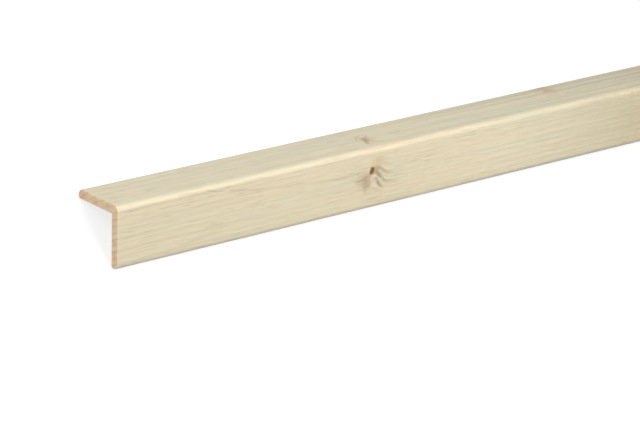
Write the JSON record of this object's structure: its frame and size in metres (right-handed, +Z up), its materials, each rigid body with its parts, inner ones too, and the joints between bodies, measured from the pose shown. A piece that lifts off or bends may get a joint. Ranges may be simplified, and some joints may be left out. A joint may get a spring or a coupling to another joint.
{
  "type": "corner guard moulding",
  "caption": "Long planed softwood strip with an equal-legged L section, a rounded outer corner and rounded leg edges, that covers an external corner.",
  "frame": {"origin": "on the floor below the middle of the strip, in its plane of symmetry", "axes": "+X along the strip, +Y across it from one leg's tip to the other's, +Z up through the outer corner"},
  "size_m": [2.4, 0.0442, 0.0252],
  "materials": {
    "softwood": "planed, bare"
  },
  "bodies": {
    "root": {"corner_moulding": "softwood"}
  },
  "joints": []
}
